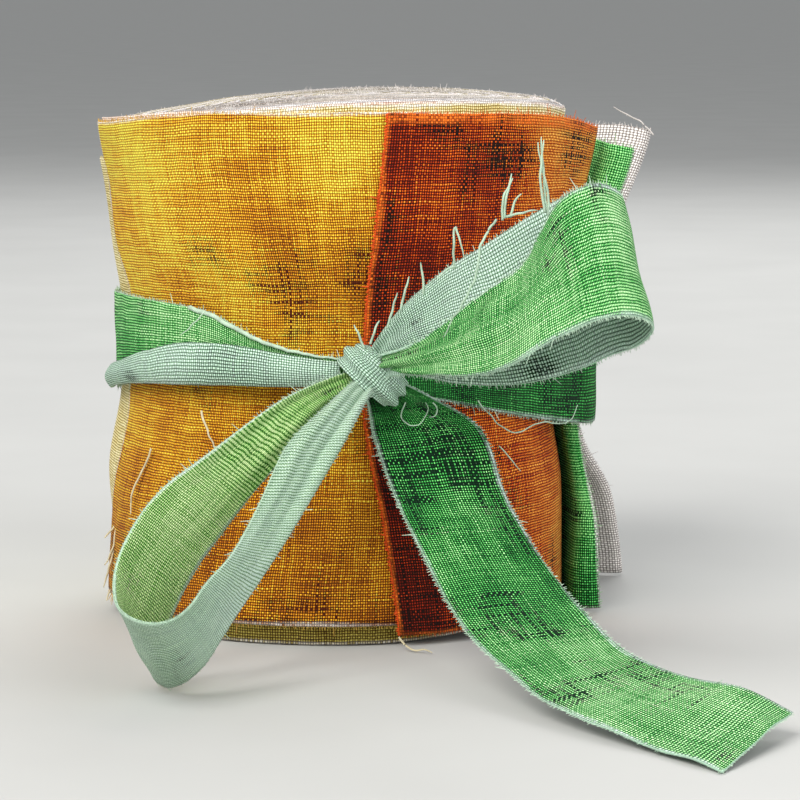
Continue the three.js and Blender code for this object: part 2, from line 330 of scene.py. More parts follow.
KHAKI_PRINT = Print(
    stops=[(0.30, (0.38, 0.26, 0.09)), (0.50, (0.60, 0.51, 0.17)), (0.70, (0.78, 0.71, 0.34))],
    ink=(0.34, 0.19, 0.12),
    inked=0.42,
    raised=0.5,
)
PEACH_PRINT = Print(
    stops=[(0.30, (0.90, 0.70, 0.60)), (0.50, (0.97, 0.86, 0.78)), (0.70, (0.99, 0.94, 0.89))],
    ink=(0.90, 0.68, 0.60),
    inked=0.25,
    raised=0.3,
)
WHITE_PRINT = Print(
    stops=[(0.30, (0.88, 0.85, 0.86)), (0.50, (0.96, 0.94, 0.94)), (0.70, (1.0, 0.99, 0.98))],
    ink=(0.88, 0.84, 0.84),
    inked=0.20,
    raised=0.2,
)

# How far each side of the cloth is faded to its unprinted colour, and the width of its bare edge
FACE_FADE = 0.0
REVERSE_FADE = 0.78
EDGE_FADE = 0.85
BARE_EDGE = 0.45

# How fine the patterns on the cloth are, in lengths or patches to a metre
THREAD_LENGTHS = 240.0
HATCHING_LENGTHS = 80.0
COLOUR_PATCHES = 62.0
INK_PATCHES = 75.0
WAVERS = 300.0

# How much the patches, the single threads and the hatching change a print's colour
PATCH_SHARE = 0.6
THREAD_SHARE = 0.45
HATCHING_SHARE = 0.55

# How sharply inked patches end, and how much more ink heavy hatching and deep hollows take
INK_EDGE = 6.0
HATCHING_INK = 5.0
HOLLOW_INK = 0.8

# How deep the weave looks, and how strongly
WEAVE_DEPTH = 0.12
WEAVE_STRENGTH = 0.6


class Weave:
    """Where the threads lie in a plain weave, and how light each one is."""

    def __init__(self, paint, seed):
        uv = paint.node("ShaderNodeTexCoord", {}, {}).outputs["UV"]
        split = paint.node("ShaderNodeSeparateXYZ", {}, {"Vector": uv})
        self.paint = paint
        self.seed = seed
        self.along = Value(paint, split.outputs[0])
        self.across = Value(paint, split.outputs[1])
        self.place = paint.vector(self.along + seed * 0.31, self.across + seed * 0.17, seed)
        waver = paint.noise(uv, WAVERS, 1.0) - 0.5
        warp_count = self.across / (WARP_PITCH * MM) + waver
        weft_count = self.along / (WEFT_PITCH * MM) + waver
        self.warp_number = warp_count.floor()
        self.weft_number = weft_count.floor()

        # over and under: one thread lies on top in each cell, in turn, and is rounded across
        warp_wave = (warp_count * math.pi).sine()
        weft_wave = (weft_count * math.pi).sine()
        self.warp_on_top = (warp_wave * weft_wave).above(0.0)
        warp = warp_wave.size() * weft_wave.size() ** 0.4
        weft = warp_wave.size() ** 0.4 * weft_wave.size()
        self.height = weft + self.warp_on_top * (warp - weft)

    def tone(self, run, shift):
        """Each thread's own lighter and darker lengths, seen where that thread lies on top. run is
        how many lengths there are to a metre."""
        warp_run = self.paint.vector(self.along * run, self.warp_number * 3.7, self.seed + shift)
        weft_run = self.paint.vector(self.weft_number * 3.7, self.across * run, self.seed + shift)
        warp = self.paint.noise(warp_run, 1.0, 1.0)
        weft = self.paint.noise(weft_run, 1.0, 1.0)
        return weft + self.warp_on_top * (warp - weft)


def weave_paint(name, cloth_print, seed, fade, width):
    """Plain weave cotton, printed in ragged crosshatched patches and bare along its cut edges, with
    shade painted between its threads.
    """
    paint = Paint(name)
    weave = Weave(paint, seed)
    thread = weave.tone(THREAD_LENGTHS, 0.0) - 0.5
    hatching = weave.tone(HATCHING_LENGTHS, 9.0) - 0.5
    patches = paint.noise(weave.place, COLOUR_PATCHES, 2.0) - 0.5
    relief = weave.height - 0.5
    shift = weave.along * cloth_print.along + weave.across * cloth_print.up + cloth_print.light
    value = patches * PATCH_SHARE + thread * THREAD_SHARE + hatching * HATCHING_SHARE + shift + 0.5
    # painted shade: the raised threads lighter and the hollows between them darker
    value = value + relief * cloth_print.raised
    colour = paint.ramp(value, cloth_print.stops)

    # the ink lies in the hollows first, and covers whole threads where the hatching is heavy
    cover = paint.noise(weave.place, INK_PATCHES, 5.0) + cloth_print.inked * 0.5 - 0.75 - shift * 0.4
    cover = (cover * INK_EDGE).clamped()
    ink = cover * (hatching * HATCHING_INK + 0.58) - weave.height * HOLLOW_INK
    ink = (ink * 3.0).clamped()
    colour = paint.blend(ink.socket, colour, rgb(cloth_print.ink))

    # bare threads along the cut edges, and on a faded side the print shows least on raised threads
    inward = weave.along.math("MINIMUM", weave.across)
    inward = inward.math("MINIMUM", width * MM - weave.across)
    bare = (patches * 4.0 + 1.2 - inward / (BARE_EDGE * MM)).clamped()
    bare = bare * (thread * 3.0 + 0.6).clamped()
    unprinted = (weave.height * 1.3 + patches * 0.9 - ink * 0.8 + 0.08) * fade
    faded = bare.math("MAXIMUM", unprinted)
    colour = paint.blend(faded.clamped().socket, colour, rgb(cloth_print.pale))

    # painted shade: darker between the threads, and the warp a little lighter than the weft
    tone = (weave.height * 0.88 + 0.3) * (thread * 0.5 + 1.0) * (weave.warp_on_top * 0.22 + 0.89)
    colour = paint.blend(1.0, colour, paint.vector(tone, tone, tone), "MULTIPLY")
    paint.feed(paint.shader.inputs["Base Color"], colour)
    paint.feed(paint.shader.inputs["Roughness"], weave.height * -0.1 + 0.92)
    paint.shader.inputs["Sheen Weight"].default_value = 0.04
    inputs = {"Strength": WEAVE_STRENGTH, "Distance": WEAVE_DEPTH * MM, "Height": weave.height}
    bump = paint.node("ShaderNodeBump", {}, inputs)
    paint.feed(paint.shader.inputs["Normal"], bump.outputs[0])
    return paint.material


def thread_paint(name, colour, evenness=0.72):
    """Loose cotton thread, a little uneven in colour."""
    paint = Paint(name)
    place = paint.node("ShaderNodeTexCoord", {}, {}).outputs["Object"]
    share = paint.noise(place, 900.0, 1.0)
    darker = tuple(c * evenness for c in colour)
    paint.feed(paint.shader.inputs["Base Color"], paint.blend(share.socket, rgb(darker), rgb(colour)))
    paint.feed(paint.shader.inputs["Roughness"], share * 0.1 + 0.82)
    return paint.material


def cloth_looks(name, cloth_print, seed, width=STRIP_WIDTH, edge_fade=EDGE_FADE):
    """Materials of a sheet's print side, its reverse and its cut edge."""
    middle = cloth_print.stops[len(cloth_print.stops) // 2][1]
    edge = tuple(a + (b - a) * edge_fade for a, b in zip(middle, cloth_print.pale))
    return [
        weave_paint(f"{name}_face", cloth_print, seed, FACE_FADE, width),
        weave_paint(f"{name}_reverse", cloth_print, seed, REVERSE_FADE, width),
        thread_paint(f"{name}_cut_edge", edge, 0.9),
    ]


def turned_over(looks):
    """A sheet's materials with its print side at the back."""
    face, reverse, cut_edge = looks
    return [reverse, face, cut_edge]


# Shapes

def on_bearing(bearing, radius, height):
    turn = math.radians(bearing)
    return Vector((radius * math.sin(turn), -radius * math.cos(turn), height))


def drawn_in(height):
    away = (height - WAIST_HEIGHT) / WAIST_REACH
    return WAIST_DEPTH * math.exp(-(away ** 4))


def table_row(rows, key, value):
    """The row of a table at a value of its key, blended smoothly between the rows either side."""
    keys = [getattr(row, key) for row in rows]
    if value <= keys[0]:
        return rows[0]
    if value >= keys[-1]:
        return rows[-1]
    index = next(i for i, k in enumerate(keys) if k >= value) - 1
    share = (value - keys[index]) / (keys[index + 1] - keys[index])
    blended = (smooth_step_between(*parts, share) for parts in zip(*neighbours(rows, index)))
    return type(rows[0])(*blended)


def neighbours(rows, index):
    """The rows at index and index + 1 with the ones before and after them, or those again at an end."""
    before = rows[max(index - 1, 0)]
    after = rows[min(index + 2, len(rows) - 1)]
    return before, rows[index], rows[index + 1], after


def smooth_step_between(p0, p1, p2, p3, share):
    """Catmull-Rom between p1 and p2."""
    return 0.5 * (
        2.0 * p1
        + (p2 - p0) * share
        + (2.0 * p0 - 5.0 * p1 + 4.0 * p2 - p3) * share ** 2
        + (3.0 * p1 - p0 - 3.0 * p2 + p3) * share ** 3
    )


def ripple(place, scale, amount, seed=0.0):
    """Soft unevenness of a cloth surface at a place in millimetres."""
    return amount * noise.noise(Vector(place) / scale + Vector((seed, seed * 1.7, -seed)))


# A piece of cloth: its point at (u, v) lies at place(u, v), with u and v from 0 to 1 along its
# length and across its width, and size is (length, width)
Cloth = namedtuple("Cloth", "name node slot_name place size")


def cloth_sheet(name, place, steps, size, looks):
    mesh = bmesh.new()
    layer = mesh.loops.layers.uv.new("cloth")
    bmesh.ops.create_grid(mesh, x_segments=steps[0], y_segments=steps[1], size=0.5)
    for face in mesh.faces:
        face.smooth = True
        for loop in face.loops:
            u, v = loop.vert.co.x + 0.5, loop.vert.co.y + 0.5
            loop[layer].uv = (u * size[0] * MM, v * size[1] * MM)
    for vert in mesh.verts:
        vert.co = place(vert.co.x + 0.5, vert.co.y + 0.5) * MM
    sheet = mesh_piece(name, mesh, looks)
    walls = sheet.modifiers.new("cloth", "SOLIDIFY")
    walls.thickness = CLOTH * MM
    walls.offset = 0.0
    walls.material_offset = 1
    walls.material_offset_rim = 2
    return sheet


def mesh_piece(name, mesh, looks):
    data = bpy.data.meshes.new(name)
    mesh.to_mesh(data)
    mesh.free()
    for look in looks:
        data.materials.append(look)
    piece = bpy.data.objects.new(name, data)
    bpy.context.collection.objects.link(piece)
    return piece


def belongs(piece, node, slot_name, size=None):
    """Puts a piece in the roll's one body, and hides the model's part that it stands for."""
    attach(piece, "root")
    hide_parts(node)
    if size:
        length, width = size[0] * MM, size[1] * MM
        flat = (max(width, LEAST_FLAT), max(length, LEAST_FLAT))
        length * width


# The wound strips: eight lie together and are wound as one bundle, from the outside in. In the
# outermost round each stands higher than the rim by its rise, but for the first, which stands on
# the floor and carries the roll.
Turn = namedtuple("Turn", "name cloth_print rise")
WOUND = [
    Turn("khaki", KHAKI_PRINT, None),
    Turn("pale_yellow", PALE_PRINT, 0.35),
    Turn("peach", PEACH_PRINT, 0.75),
    Turn("white", WHITE_PRINT, 1.0),
    Turn("cream", WHITE_PRINT, 1.1),
    Turn("blush", PEACH_PRINT, 1.15),
    Turn("linen", LINEN_PRINT, 1.25),
    Turn("white_inner", WHITE_PRINT, 1.35),
]
HIGHEST_RISE = WOUND[-1].rise
FULL_CREST = 1.7
WOUND_STEPS = (560, 8)
OUTER_BEARING = -165.0
STAGGER = 7.0

# The roll bulges at its right, most at this bearing and at the full height
RIGHT_FLARE = 3.0
RIGHT_FLARE_BEARING = 78.0
RIGHT_FLARE_HEIGHT = 64.0

# How far the first strip's outermost round stands off the floor, how far under the rim the others'
# rises are counted from, how much of their difference in height is left in the rounds inside, and
# how uneven their edges are there
FLOOR_GAP = 0.15
RIM_DROP = 0.2
INNER_STEP = 0.2
UNEVENNESS = 0.07

# Heights of the roll's top from its left to its right: the rim is that of the outer strips,
# and the crest that of the turns inside, which stand up above them
Top = namedtuple("Top", "x rim crest")
ROLL_TOP = [
    Top(-31.0, 63.9, 63.9),
    Top(-25.0, 64.7, 64.8),
    Top(-20.0, 65.2, 65.4),
    Top(-14.0, 65.6, 66.3),
    Top(-6.0, 65.8, 67.0),
    Top(2.0, 65.9, 67.5),
    Top(12.0, 65.9, 67.6),
    Top(21.0, 65.8, 67.3),
    Top(27.0, 65.3, 66.8),
    Top(31.0, 64.4, 65.3),
    Top(35.0, 62.9, 63.6),
]
HIGHEST_RIM = max(top.rim for top in ROLL_TOP)


def roll_top(x):
    return table_row(ROLL_TOP, "x", x)


def wound_foot(turn, radius, x):
    """Height of a wound strip's lower edge, at a radius and a place across the roll."""
    top = roll_top(x)
    crest = (top.crest - top.rim) / FULL_CREST
    inward = min(1.0, (ROLL_RADIUS - radius) / (CLOTH * len(WOUND)))
    if turn.rise is None:
        return FLOOR_GAP + (top.crest - STRIP_WIDTH - FLOOR_GAP) * max(0.0, 2.0 * inward - 1.0)
    outermost = top.rim - RIM_DROP + (turn.rise + RIM_DROP) * crest
    inner = top.crest - INNER_STEP * (HIGHEST_RISE - turn.rise)
    return outermost + (inner - outermost) * inward - STRIP_WIDTH


def wound_strip(index, turn):
    bundle = CLOTH * len(WOUND)
    outer = ROLL_RADIUS - CLOTH * index
    start = OUTER_BEARING + STAGGER * index

    def place(u, v):
        radius = math.sqrt(outer ** 2 - u * (outer ** 2 - EYE_RADIUS ** 2))
        bearing = start + 360.0 * (outer - radius) / bundle
        towards_right = max(0.0, math.cos(math.radians(bearing - RIGHT_FLARE_BEARING)))
        spread = 1.0 + RIGHT_FLARE * towards_right ** 14 / ROLL_RADIUS
        foot = wound_foot(turn, radius, on_bearing(bearing, radius * spread, 0.0).x)
        inward = min(1.0, (ROLL_RADIUS - radius) / bundle)
        lift = noise.noise(Vector((bearing / 40.0, radius / 3.0, index * 5.0)))
        height = v * STRIP_WIDTH + foot + UNEVENNESS * inward * lift
        spread = 1.0 + (spread - 1.0) * (height / RIGHT_FLARE_HEIGHT) ** 4
        drawn = drawn_in(height) * (radius / ROLL_RADIUS) ** 2
        spot = on_bearing(bearing, radius * spread - drawn, height)
        shift = ripple(spot, scale=11.0, amount=0.5 * inward)
        return spot + Vector((shift, shift * 0.6, 0.0))

    looks = cloth_looks(turn.name, turn.cloth_print, index + 1.0, edge_fade=0.5)
    size = (STRIP_LENGTH, STRIP_WIDTH)
    name = f"wound_{turn.name}"
    piece = cloth_sheet(name, place, WOUND_STEPS, size, looks)
    belongs(piece, "roll", "wound_strips", size)
    return Cloth(name, "roll", "wound_strips", place, size)


# Strips that lie on the wound body, each with its two ends at rising heights.
# The flares are how far an end stands off the body there.
Ends = namedtuple("Ends", "height start end start_flare end_flare")
YELLOW_ENDS = [
    Ends(2.7, -85.0, 24.0, 0.5, 0.0),
    Ends(16.0, -76.5, 24.0, 0.1, 0.0),
    Ends(29.0, -70.0, 24.0, 0.0, 0.0),
    Ends(43.0, -66.0, 24.0, 0.0, 0.0),
    Ends(50.0, -70.5, 24.0, 0.1, 0.0),
    Ends(57.6, -76.5, 24.0, 0.1, 0.0),
    Ends(61.5, -79.0, 24.0, 0.7, 0.0),
    Ends(66.0, -79.5, 24.0, 1.3, 0.0),
]
RUST_ENDS = [
    Ends(1.5, 16.4, 84.0, 0.2, 0.0),
    Ends(16.0, 12.5, 84.0, 0.2, 0.0),
    Ends(29.0, 8.4, 84.0, 0.2, 0.0),
    Ends(43.0, 9.0, 82.4, 0.2, 0.9),
    Ends(55.0, 11.4, 82.8, 0.2, 2.7),
    Ends(65.9, 13.6, 84.0, 0.2, 4.4),
]
PALE_ENDS = [
    Ends(0.8, -158.0, -62.0, 0.0, 0.0),
    Ends(29.0, -158.0, -60.0, 0.0, 0.0),
    Ends(61.0, -158.0, -60.0, 0.0, 0.0),
]
PEACH_ENDS = [
    Ends(52.0, -79.0, -30.0, 0.1, 0.0),
    Ends(66.45, -80.0, -30.0, 1.1, 0.0),
]
FLARE_REACH = 60.0

# Where the pale strip stands off the body: most at one bearing, and over a spread of bearings, by
# one distance above the tie, where it grows with height, and by another below it
BULGE_BEARING = -94.0
BULGE_SPREAD = 13.0
UPPER_BULGE = 1.6
UPPER_BULGE_FROM = 47.0
UPPER_BULGE_REACH = 14.0
LOWER_BULGE = 1.2
LOWER_BULGE_HEIGHT = 21.5
LOWER_BULGE_REACH = 8.0


def pale_bulge(bearing, height):
    """The pale strip stands off at its left, above and below the tie that holds it."""
    side = math.exp(-(((bearing - BULGE_BEARING) / BULGE_SPREAD) ** 2))
    above = UPPER_BULGE * max(0.0, (height - UPPER_BULGE_FROM) / UPPER_BULGE_REACH) ** 1.6
    below = LOWER_BULGE * math.exp(-(((height - LOWER_BULGE_HEIGHT) / LOWER_BULGE_REACH) ** 2))
    return side * (above + below)


def outer_strip(name, node, slot_name, ends, seat, looks, steps, wave=0.3, bulge=None):
    """A strip that lies round the body at the radius seat."""
    bottom, top = ends[0].height, ends[-1].height
    size = (math.radians(ends[0].end - ends[0].start) * seat, top - bottom)

    def place(u, v):
        height = bottom + (top - bottom) * v
        row = table_row(ends, "height", height)
        bearing = row.start + (row.end - row.start) * u
        from_start = max(0.0, 1.0 - (bearing - row.start) / FLARE_REACH)
        from_end = max(0.0, 1.0 - (row.end - bearing) / FLARE_REACH)
        flare = row.start_flare * from_start ** 2 + row.end_flare * from_end ** 2
        if bulge:
            flare += bulge(bearing, height)
        spot = on_bearing(bearing, seat + flare, height)
        radius = seat - drawn_in(height) + flare + ripple(spot, scale=14.0, amount=wave, seed=3.0)
        rim = roll_top(spot.x).rim - HIGHEST_RIM
        sway = ripple((bearing / 6.0, 0.0, 0.0), scale=4.0, amount=0.25, seed=seat)
        return on_bearing(bearing, radius, height + (rim + sway) * v ** 3)

    piece = cloth_sheet(name, place, steps, size, looks)
    belongs(piece, node, slot_name, size)
    return Cloth(name, node, slot_name, place, size)


# Strips that come from the back and stand off at their cut end, whose place is at x, y
Flap = namedtuple("Flap", "height x y")
GREEN_FLAP = [
    Flap(0.5, 34.8, -5.5),
    Flap(12.0, 34.0, -5.5),
    Flap(22.0, 32.4, -4.8),
    Flap(29.0, 31.6, -4.0),
    Flap(36.0, 31.6, -4.0),
    Flap(43.0, 32.6, -4.0),
    Flap(52.0, 35.6, -4.5),
    Flap(62.2, 38.4, -4.0),
]
LINEN_FLAP = [
    Flap(0.4, 39.8, 20.0),
    Flap(12.0, 37.6, 13.5),
    Flap(22.0, 33.0, 5.6),
    Flap(29.0, 32.2, 4.8),
    Flap(36.0, 32.2, 4.8),
    Flap(43.0, 33.4, 6.4),
    Flap(52.0, 38.8, 13.5),
    Flap(62.6, 43.0, 18.0),
]

# The bearings at which the hidden ends of those strips lie
GREEN_HIDDEN_END = 128.0
LINEN_HIDDEN_END = 203.0

# How far a cut end curls, the distance off the body that it needs for that, the bearing that it
# curls towards, how far the standing cloth reaches past the body's right side, and the turn past
# the place where it leaves the body, in radians, after which it waves freely
CURL_TURN = math.radians(120.0)
CURL_ROOM = 6.0
CURL_BEARING = 105.0
REACH_PAST_BODY = 6.0
FREE_TURN = 0.3


def standing_strip(name, node, slot_name, flap, seat, hidden_end, looks, steps, curl, sag):
    """Cloth that lies on the body, leaves it on a tangent and runs straight, and whose cut end
    curls outward on the radius curl, less where the tie holds it close, and hangs lower at its top
    corner by sag."""
    bottom, top = flap[0].height, flap[-1].height
    size = (math.radians(hidden_end - 90.0) * seat + REACH_PAST_BODY, top - bottom)
    curled = CURL_TURN * curl / size[0]
    inset = on_bearing(CURL_BEARING, curl * (1.0 - math.cos(CURL_TURN)), 0.0)
    inset += on_bearing(CURL_BEARING - 90.0, curl * math.sin(CURL_TURN), 0.0)

    def place(u, v):
        height = bottom + (top - bottom) * v
        row = table_row(flap, "height", height)
        radius = seat - drawn_in(height)
        free = min(1.0, (math.hypot(row.x, row.y) - radius) / CURL_ROOM) ** 2
        x, y = row.x - free * inset.x, row.y - free * inset.y
        tip_bearing = math.degrees(math.atan2(x, -y))
        leave = tip_bearing + math.degrees(math.acos(min(1.0, radius / math.hypot(x, y))))
        straight = max(0.0, u - curled) / (1.0 - curled)
        bearing = tip_bearing + (hidden_end - tip_bearing) * straight
        off = math.radians(max(0.0, leave - bearing))
        hanging = sag * v ** 4 * max(0.0, 1.0 - u / (2.0 * curled))
        spot = on_bearing(bearing, radius / math.cos(off), height - hanging)
        loose = min(1.0, off / FREE_TURN)
        wave = ripple(spot, scale=12.0, amount=0.1 + 0.6 * loose, seed=seat)
        spot += on_bearing(max(bearing, leave), wave, 0.0)
        turn = CURL_TURN * max(0.0, 1.0 - u / curled)
        outward = on_bearing(leave, free * curl * (1.0 - math.cos(turn)), 0.0)
        return spot + outward + on_bearing(leave - 90.0, free * curl * math.sin(turn), 0.0)

    piece = cloth_sheet(name, place, steps, size, looks)
    belongs(piece, node, slot_name, size)
    return Cloth(name, node, slot_name, place, size)


# The tie. Its band goes round the roll from the knot's right to the knot's left.
# radius is to the middle of the cloth, low and high are the heights of its two edges.
Band = namedtuple("Band", "bearing radius low high")
BAND = [
    Band(8.0, 34.2, 33.6, 37.0),
    Band(16.0, 31.0, 31.6, 36.4),
    Band(28.0, 29.6, 30.4, 37.0),
    Band(45.0, 29.2, 28.4, 37.5),
    Band(62.0, 29.8, 26.6, 37.5),
    Band(77.0, 32.2, 25.2, 37.3),
    Band(84.0, 33.6, 24.8, 37.2),
    Band(98.0, 34.2, 24.8, 37.2),
    Band(105.0, 32.9, 25.0, 37.4),
    Band(116.0, 30.8, 26.0, 38.4),
    Band(135.0, 29.5, 26.8, 39.4),
    Band(180.0, 29.2, 28.0, 40.8),
    Band(225.0, 28.9, 29.0, 41.6),
    Band(270.0, 28.6, 29.2, 41.8),
    Band(293.0, 28.7, 31.0, 42.2),
    Band(317.0, 29.0, 32.2, 42.0),
    Band(330.0, 29.2, 32.7, 41.2),
    Band(343.0, 29.9, 33.0, 38.4),
    Band(353.0, 31.4, 33.2, 37.0),
    Band(364.0, 33.8, 33.6, 36.6),
]

# The band's lower half is turned up over itself at the left
BAND_FOLD = [
    Band(258.0, 29.1, 29.2, 30.2),
    Band(270.0, 29.3, 29.0, 31.6),
    Band(293.0, 29.5, 30.8, 33.8),
    Band(310.0, 29.8, 31.8, 36.0),
    Band(322.0, 29.9, 32.2, 37.4),
    Band(336.0, 30.4, 32.6, 37.6),
    Band(350.0, 31.8, 32.9, 36.8),
    Band(362.0, 34.2, 33.3, 36.2),
]

# Its upper edge is rolled over itself towards the knot: bearing, radius and height
BAND_ROLLED_EDGE = [
    (323.0, 29.3, 41.7),
    (330.0, 29.6, 41.0),
    (337.0, 29.8, 39.6),
    (343.0, 30.3, 38.3),
    (353.0, 31.8, 37.0),
    (362.0, 33.9, 36.5),
]


def band_piece(name, rows, steps, looks, width, bow=0.0):
    """A stretch of the band, whose middle stands out by bow beyond its two edges."""
    first, last = rows[0].bearing, rows[-1].bearing

    def place(u, v):
        bearing = first + (last - first) * u
        row = table_row(rows, "bearing", bearing)
        height = row.low + (row.high - row.low) * v
        spot = on_bearing(bearing, row.radius, height)
        bulge = bow * math.sin(math.pi * v) + ripple(spot, scale=6.0, amount=0.35, seed=3.0)
        return on_bearing(bearing, row.radius + bulge, height)

    size = (math.radians(last - first) * BAND_SEAT, width)
    piece = cloth_sheet(name, place, steps, size, looks)
    belongs(piece, "tie", "tie_cloth", size)
    return Cloth(name, "tie", "tie_cloth", place, size)


# Free runs of the tie: one edge at ax, ay, az, the other at bx, by, bz, and the height of the
# folds that the knot gathers the cloth into
Section = namedtuple("Section", "ax ay az bx by bz fold")
RIGHT_LOOP = [
    Section(4.0, -35.5, 36.5, 5.6, -36.0, 34.4, 0.5),
    Section(8.5, -39.0, 42.8, 9.7, -42.0, 35.6, 0.5),
    Section(13.0, -42.0, 47.5, 15.5, -49.0, 35.4, 0.3),
    Section(17.7, -46.0, 50.8, 22.0, -56.0, 36.2, 0.1),
    Section(23.0, -50.0, 54.6, 28.0, -61.0, 38.4, 0.0),
    Section(27.5, -54.0, 57.6, 32.0, -64.0, 40.4, 0.0),
    Section(31.0, -57.5, 58.6, 34.6, -67.0, 41.8, 0.0),
    Section(33.2, -61.5, 57.8, 35.8, -70.0, 43.8, 0.0),
    Section(32.4, -64.6, 58.8, 35.0, -72.4, 45.2, 0.0),
    Section(29.8, -66.0, 59.6, 32.6, -73.4, 45.8, 0.0),
    Section(26.3, -66.0, 58.0, 29.0, -74.0, 45.2, 0.0),
    Section(24.0, -64.0, 54.2, 25.4, -73.0, 43.4, 0.1),
    Section(21.5, -60.0, 49.6, 21.0, -69.0, 40.2, 0.2),
    Section(16.2, -52.0, 45.2, 16.4, -60.0, 37.8, 0.4),
    Section(11.8, -45.0, 40.6, 12.0, -50.0, 36.6, 0.6),
    Section(6.0, -38.0, 37.4, 7.0, -38.6, 35.6, 0.6),
]
LEFT_LOOP = [
    Section(4.4, -36.0, 36.0, 4.8, -36.0, 34.0, 0.3),
    Section(-1.0, -38.0, 34.4, 0.4, -37.6, 31.6, 0.35),
    Section(-6.5, -41.0, 32.0, -2.3, -39.4, 28.9, 0.3),
    Section(-14.0, -46.0, 26.8, -8.6, -42.4, 21.8, 0.15),
    Section(-18.7, -50.0, 23.6, -12.3, -44.4, 17.1, 0.05),
    Section(-21.9, -54.0, 20.0, -15.7, -46.4, 13.0, 0.0),
    Section(-23.7, -58.0, 15.7, -18.6, -48.4, 7.6, 0.0),
    Section(-23.9, -62.0, 12.4, -20.4, -50.6, 2.2, 0.0),
    Section(-22.3, -66.0, 11.4, -19.0, -53.6, 0.5, 0.0),
    Section(-19.6, -67.6, 10.8, -16.8, -55.8, 1.2, 0.0),
    Section(-16.9, -66.4, 11.0, -14.6, -56.6, 3.2, 0.0),
    Section(-14.8, -62.8, 12.0, -12.6, -55.6, 5.6, 0.0),
    Section(-13.2, -58.0, 14.2, -9.7, -52.6, 9.9, 0.0),
    Section(-10.1, -53.0, 17.4, -5.4, -48.8, 16.0, 0.1),
    Section(-7.6, -49.0, 21.8, -2.1, -45.6, 21.3, 0.25),
    Section(-4.6, -45.0, 27.8, 1.4, -42.6, 26.9, 0.55),
    Section(0.6, -40.0, 32.6, 4.4, -39.6, 32.0, 0.6),
    Section(3.6, -37.4, 35.0, 6.0, -37.2, 34.2, 0.3),
]
TAIL = [
    Section(7.2, -35.0, 34.4, 3.4, -35.2, 34.0, 0.6),
    Section(12.4, -33.4, 31.8, 4.6, -34.4, 31.1, 0.6),
    Section(18.3, -34.4, 28.0, 5.4, -35.0, 26.8, 0.3),
    Section(21.2, -38.0, 20.7, 8.0, -38.0, 20.0, 0.1),
    Section(23.7, -43.0, 16.3, 10.6, -42.0, 15.2, 0.0),
    Section(26.7, -49.0, 12.6, 13.2, -47.0, 10.8, 0.0),
    Section(30.3, -57.0, 9.2, 16.2, -53.6, 7.0, 0.0),
    Section(33.1, -63.0, 7.4, 19.9, -60.4, 4.6, 0.0),
    Section(36.2, -67.0, 6.2, 24.0, -68.6, 2.7, 0.0),
    Section(40.5, -71.0, 5.3, 29.2, -76.4, 1.6, 0.0),
    Section(45.6, -73.6, 4.9, 35.1, -84.0, 0.8, 0.0),
    Section(51.2, -76.4, 2.8, 41.9, -93.0, 0.3, 0.0),
]


def run_row(rows, u):
    """Section at the share u of a run, its rows evenly spaced."""
    place = u * (len(rows) - 1)
    index = min(int(place), len(rows) - 2)
    share = place - index
    return Section(*(smooth_step_between(*parts, share) for parts in zip(*neighbours(rows, index))))


def run_frame(rows, u):
    """Edge points of a run at u, the cloth's normal there and the height of its folds."""
    row = run_row(rows, u)
    step = 0.002
    before, after = run_row(rows, max(u - step, 0.0)), run_row(rows, min(u + step, 1.0))
    far, near = Vector(row[0:3]), Vector(row[3:6])
    run = Vector(after[0:3]) - Vector(before[0:3]) + Vector(after[3:6]) - Vector(before[3:6])
    return far, near, run.cross(far - near).normalized(), row.fold


def run_length(rows):
    middles = [(Vector(row[0:3]) + Vector(row[3:6])) / 2 for row in rows]
    return sum((b - a).length for a, b in zip(middles, middles[1:]))


def run_width(rows):
    """Mean width of a run, which is less than the tie's own where the knot gathers it."""
    return sum((Vector(row[0:3]) - Vector(row[3:6])).length for row in rows) / len(rows)


# How many wide folds and how many narrow ones lie across the gathered cloth
WIDE_FOLDS = 1.3
NARROW_FOLDS = 3.1


def gathers(v, seed):
    """Uneven folds across the gathered cloth, from -1 to 1."""
    wide = math.sin(2.0 * math.pi * WIDE_FOLDS * v + seed)
    narrow = math.sin(2.0 * math.pi * NARROW_FOLDS * v + seed * 2.7)
    return 0.65 * wide + 0.35 * narrow


def free_run(name, rows, steps, looks, seed):
    """A loop or the tail, from one end of its sections to the other, kept clear of the floor."""

    def place(u, v):
        far, near, normal, fold = run_frame(rows, u)
        spot = near.lerp(far, v)
        spot += normal * (fold * gathers(v, seed) + ripple(spot, scale=7.0, amount=0.5, seed=seed))
        spot.z = max(spot.z, CLOTH)
        return spot

    length = run_length(rows)
    piece = cloth_sheet(name, place, steps, (length, TIE_WIDTH), looks)
    belongs(piece, "tie", "tie_cloth", (length, run_width(rows)))
    return Cloth(name, "tie", "tie_cloth", place, (length, TIE_WIDTH))


# The knot: a lap of cloth wound slantwise round the gathered runs, from under to over. offset is
# along the knot's own axis, long and deep are its half sizes round it, and it starts at the back.
# The knot is KNOT_ACROSS wide in the mean, and KNOT_CORE is half the size of what lies inside it.
KNOT_PLACE = Vector((5.2, -35.6, 34.8))
KNOT_SLANT = Matrix.Rotation(math.radians(-45.0), 3, "Y")
KNOT_TURNS = 3.0
KNOT_ACROSS = 6.6
KNOT_CORE = Vector((1.9, 2.5, 3.5))

